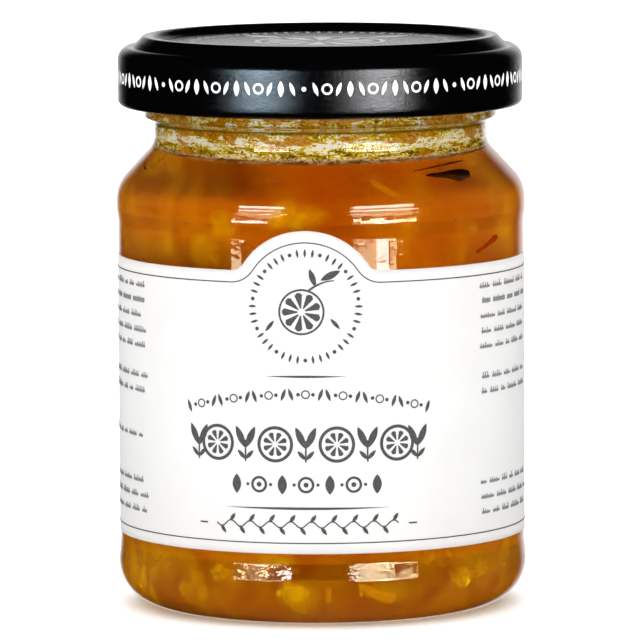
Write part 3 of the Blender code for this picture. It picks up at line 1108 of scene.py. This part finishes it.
def make_lid_print():
    ink = Ink(lid_skirt_place)
    marks = 112
    for i in range(marks):
        along = 2 * math.pi * LID_R / MM * (i / marks - 0.5)
        centre = (along, 72.65)
        kind = i % 14
        if kind == 0:
            ink.dot(centre, 0.32)
        elif kind % 4 == 2:
            ink.ring(centre, 0.62, 0.27, 20)
        elif kind % 4 == 0:
            ink.leaf(centre, math.pi / 2, 2.1, 0.8)
        else:
            ink.leaf(centre, math.pi / 2 + (0.35 if kind % 4 == 1 else -0.35), 1.9, 0.55)
    white = ink_material("white_ink", (0.72, 0.72, 0.72), (0.88, 0.88, 0.88), 0.4)
    ink.piece("lid_skirt_print", white, "black_lacquer", 0.015 * MM)

    top = Ink(lid_top_place)
    for i in range(72):
        angle = 2 * math.pi * i / 72
        reach = 17.6
        middle = (reach * math.cos(angle), reach * math.sin(angle))
        if i % 3:
            top.leaf(middle, angle, 1.9, 0.5)
        else:
            top.dot(middle, 0.35)
    top.wheel((0, 0), 9.0, 0.7, 10)
    top.leaf((8.6, 9.2), 0.6, 6.5, 2.2)
    top.leaf((-8.6, 9.2), 2.54, 6.5, 2.2)
    silver = ink_material("silver_ink", (0.30, 0.30, 0.30), (0.42, 0.42, 0.42), 0.5)
    top.piece("lid_top_print", silver, "black_lacquer", 0.01 * MM)


def make_floor():
    near_y, far_y, half_x = -0.045, 6, 4
    z = -0.05 * MM
    corners = [(-half_x, near_y, z), (half_x, near_y, z), (half_x, far_y, z), (-half_x, far_y, z)]
    mesh = bpy.data.meshes.new("floor")
    mesh.from_pydata(corners, [], [(0, 1, 2, 3)])
    floor = put("floor", mesh)
    g = Graph("pale_floor")
    tone = g.ramp(g.noise(3, 2), [(0.3, (0.94, 0.94, 0.94)), (0.7, (0.97, 0.97, 0.97))])
    floor.data.materials.append(g.finish(g.principled(tone, 0.7)))
    floor.visible_glossy = False


def make_world():
    """White for what is seen directly, even light for matt things, and a dark studio with a white wall behind
    the jar for what mirrors it."""
    g = Graph("studio", "World")
    backwards = g.add("SeparateXYZ", {0: g.add("TexCoord").outputs["Generated"]}).outputs["Y"]
    wall = {"Value": backwards, "From Min": 0.87, "From Max": 0.98, "To Min": DARK_STUDIO, "To Max": 1.0}
    strength = g.add("MapRange", wall, interpolation_type="SMOOTHSTEP").outputs[0]
    rays = g.add("LightPath").outputs
    matt = g.times(rays["Is Diffuse Ray"], EVEN_LIGHT)
    for other in (rays["Is Camera Ray"], rays["Is Transmission Ray"], matt):
        strength = g.math("MAXIMUM", strength, other)
    light = g.add("Background", {"Color": (1, 1, 1, 1), "Strength": strength}).outputs[0]
    bpy.context.scene.world = g.finish(light)


def lit_by_softboxes(name, *pieces):
    """A group of pieces for a lamp to light. It is no part of the scene itself."""
    group = bpy.data.collections.new(name)
    for piece in pieces:
        group.objects.link(bpy.data.objects[piece])
    return group


def heading(azimuth, elevation):
    """The way out from the jar at an azimuth, 0 in front and positive to the right, and an elevation."""
    a, e = math.radians(azimuth), math.radians(elevation)
    return Vector((math.sin(a) * math.cos(e), -math.cos(a) * math.cos(e), math.sin(e)))


def add_lamp(name, azimuth, elevation, distance, width, height, power, colour=(1, 1, 1)):
    """A rectangle of light that faces the jar, seen neither directly nor through the glass."""
    lamp = bpy.data.lights.new(name, "AREA")
    lamp.shape = "RECTANGLE"
    lamp.size = width
    lamp.size_y = height
    lamp.energy = power
    lamp.color = colour
    obj = put(name, lamp)
    away = heading(azimuth, elevation)
    obj.location = LAMP_AIM + away * distance
    obj.rotation_mode = "QUATERNION"
    obj.rotation_quaternion = away.to_track_quat("Z", "Y")
    obj.visible_camera = False
    obj.visible_transmission = False
    return obj


def add_softbox(group, name, distance, left, right, low, high, radiance, colour):
    """A lamp seen only in the group's pieces that mirror it, with its edges at these degrees."""
    width = 2 * distance * math.tan(math.radians((right - left) / 2))
    height = 2 * distance * math.tan(math.radians((high - low) / 2))
    power = radiance * math.pi * width * height
    lamp = add_lamp(name, (left + right) / 2, (low + high) / 2, distance, width, height, power, colour)
    lamp.visible_diffuse = False
    lamp.light_linking.receiver_collection = group


def add_fill(name, azimuth, elevation, power):
    """A large soft lamp for matt things only."""
    distance, size = 1.6, 1.4
    lamp = add_lamp(name, azimuth, elevation, distance, size, size, power)
    lamp.visible_glossy = False


def make_lights():
    right = (1.0, 0.96, 0.86)
    left = (1.0, 0.97, 0.92)
    cool = (0.66, 0.86, 1.0)
    neutral = (0.97, 0.98, 1.0)
    warm = (1.0, 0.90, 0.55)
    near, far = 0.45, 1.0
    jar = lit_by_softboxes("jar_pieces", "glass", "marmalade_fill", "neck_film", "bubbles", "wrap_label")
    cap = lit_by_softboxes("lid_pieces", "twist_off_lid", "lid_skirt_print", "lid_top_print")
    for lamp in (
        ("right_low", near, 22, 35, -6.8, -3.75, 9, warm),
        ("right_low_bright", near, 35, 42, -6.8, -3.75, 22, right),
        ("right_low_side", near, 43, 46.5, -6.7, -3.85, 11, warm),
        ("right_bulge", near, 22, 58, -3.5, -2.9, 24, warm),
        ("right_streak_low", far, 18, 45, 0.35, 0.75, 24, warm),
        ("right_streak", far, 20, 36, 1.05, 1.5, 20, right),
        ("right_streak_side", far, 40, 61, 0.95, 1.25, 28, warm),
        ("right_body", far, 22, 56, 1.9, 22, 5, warm),
        ("right_body_low", far, 22, 56, -3.3, 0.1, 7, warm),
        ("right_middle_top", far, 20, 60, 9.8, 11.4, 34, right),
        ("right_bulge_line", near, 28, 46, -3.2, -3.08, 60, right),
        ("right_high", far, 24, 58, 17, 24, 14, right),
        ("left_low", near, -46, -40, -5.0, -3.9, 12, warm),
        ("left_bulge", near, -45, -24, -3.35, -2.95, 34, left),
        ("left_streak_low", far, -47, -26, 0.5, 0.8, 34, warm),
        ("left_streak", far, -33, -13, 1.0, 1.4, 42, left),
        ("left_body", far, -42, -18, 1.9, 22, 4, warm),
        ("left_body_low", far, -42, -18, -3.3, 0.1, 5, warm),
        ("left_middle_top", far, -42, -22, 9.8, 11.4, 34, left),
        ("left_high", far, -42, -17, 17, 23, 16, left),
    ):
        add_softbox(jar, *lamp)
    for lamp in (
        ("right_lid", near, 17, 51, -0.4, 2.8, 10, neutral),
        ("right_lid_bright", near, 32, 49, -0.4, 2.8, 14, neutral),
        ("right_lid_top", far, 26, 50, 2.8, 4.8, 62, neutral),
        ("left_lid_top", far, -40, -17, 2.8, 4.8, 84, cool),
        ("left_lid", near, -45, -13, -0.4, 2.8, 7, cool),
        ("left_lid_bright", near, -41, -24, -0.4, 2.8, 7, cool),
    ):
        add_softbox(cap, *lamp)
    add_fill("front_fill", 5, -4, 5)
    add_fill("table_bounce", 5, -24, 15)
    add_fill("left_fill", -70, -10, 11)
    add_fill("right_fill", 75, -12, 7)
    add_fill("back_fill", 180, 15, 12)
    sun = bpy.data.lights.new("sky_light", "SUN")
    sun.energy = 1.2
    sun.angle = 0.6
    overhead = put("sky_light", sun)
    overhead.visible_glossy = False
    overhead.visible_transmission = False


def make_camera():
    """The photograph's long lens, a little above the jar and to the right of the label's middle."""
    azimuth, elevation, roll = 4.5, 6.181, math.radians(-0.319)
    distance, target = 1023.9 * MM, Vector((0, 0, 38.73 * MM))
    focal_px, axis_px, frame_px = 7451.5, 321.44, 640
    data = bpy.data.cameras.new("camera")
    data.sensor_width = 36
    data.lens = focal_px / frame_px * data.sensor_width
    data.shift_x = (frame_px / 2 - axis_px) / frame_px
    data.clip_start = 0.05
    data.clip_end = 20
    camera = put("camera", data)
    away = heading(azimuth, elevation)
    camera.location = target + away * distance
    camera.rotation_mode = "QUATERNION"
    look = (-away).to_track_quat("-Z", "Y")
    camera.rotation_quaternion = look @ Quaternion((0, 0, 1), roll)
    bpy.context.scene.camera = camera


OUTER = outer_wall()
INNER = inner_wall(0)
make_glass()
make_fill()
make_film()
make_fruit()
make_lid()
make_label()
make_print()
make_lid_print()
make_floor()
make_world()
make_lights()
make_camera()
scene = bpy.context.scene
scene.view_settings.view_transform = "Standard"
scene.view_settings.look = "None"
scene.cycles.max_bounces = 24
scene.cycles.transmission_bounces = 20
scene.cycles.transparent_max_bounces = 24
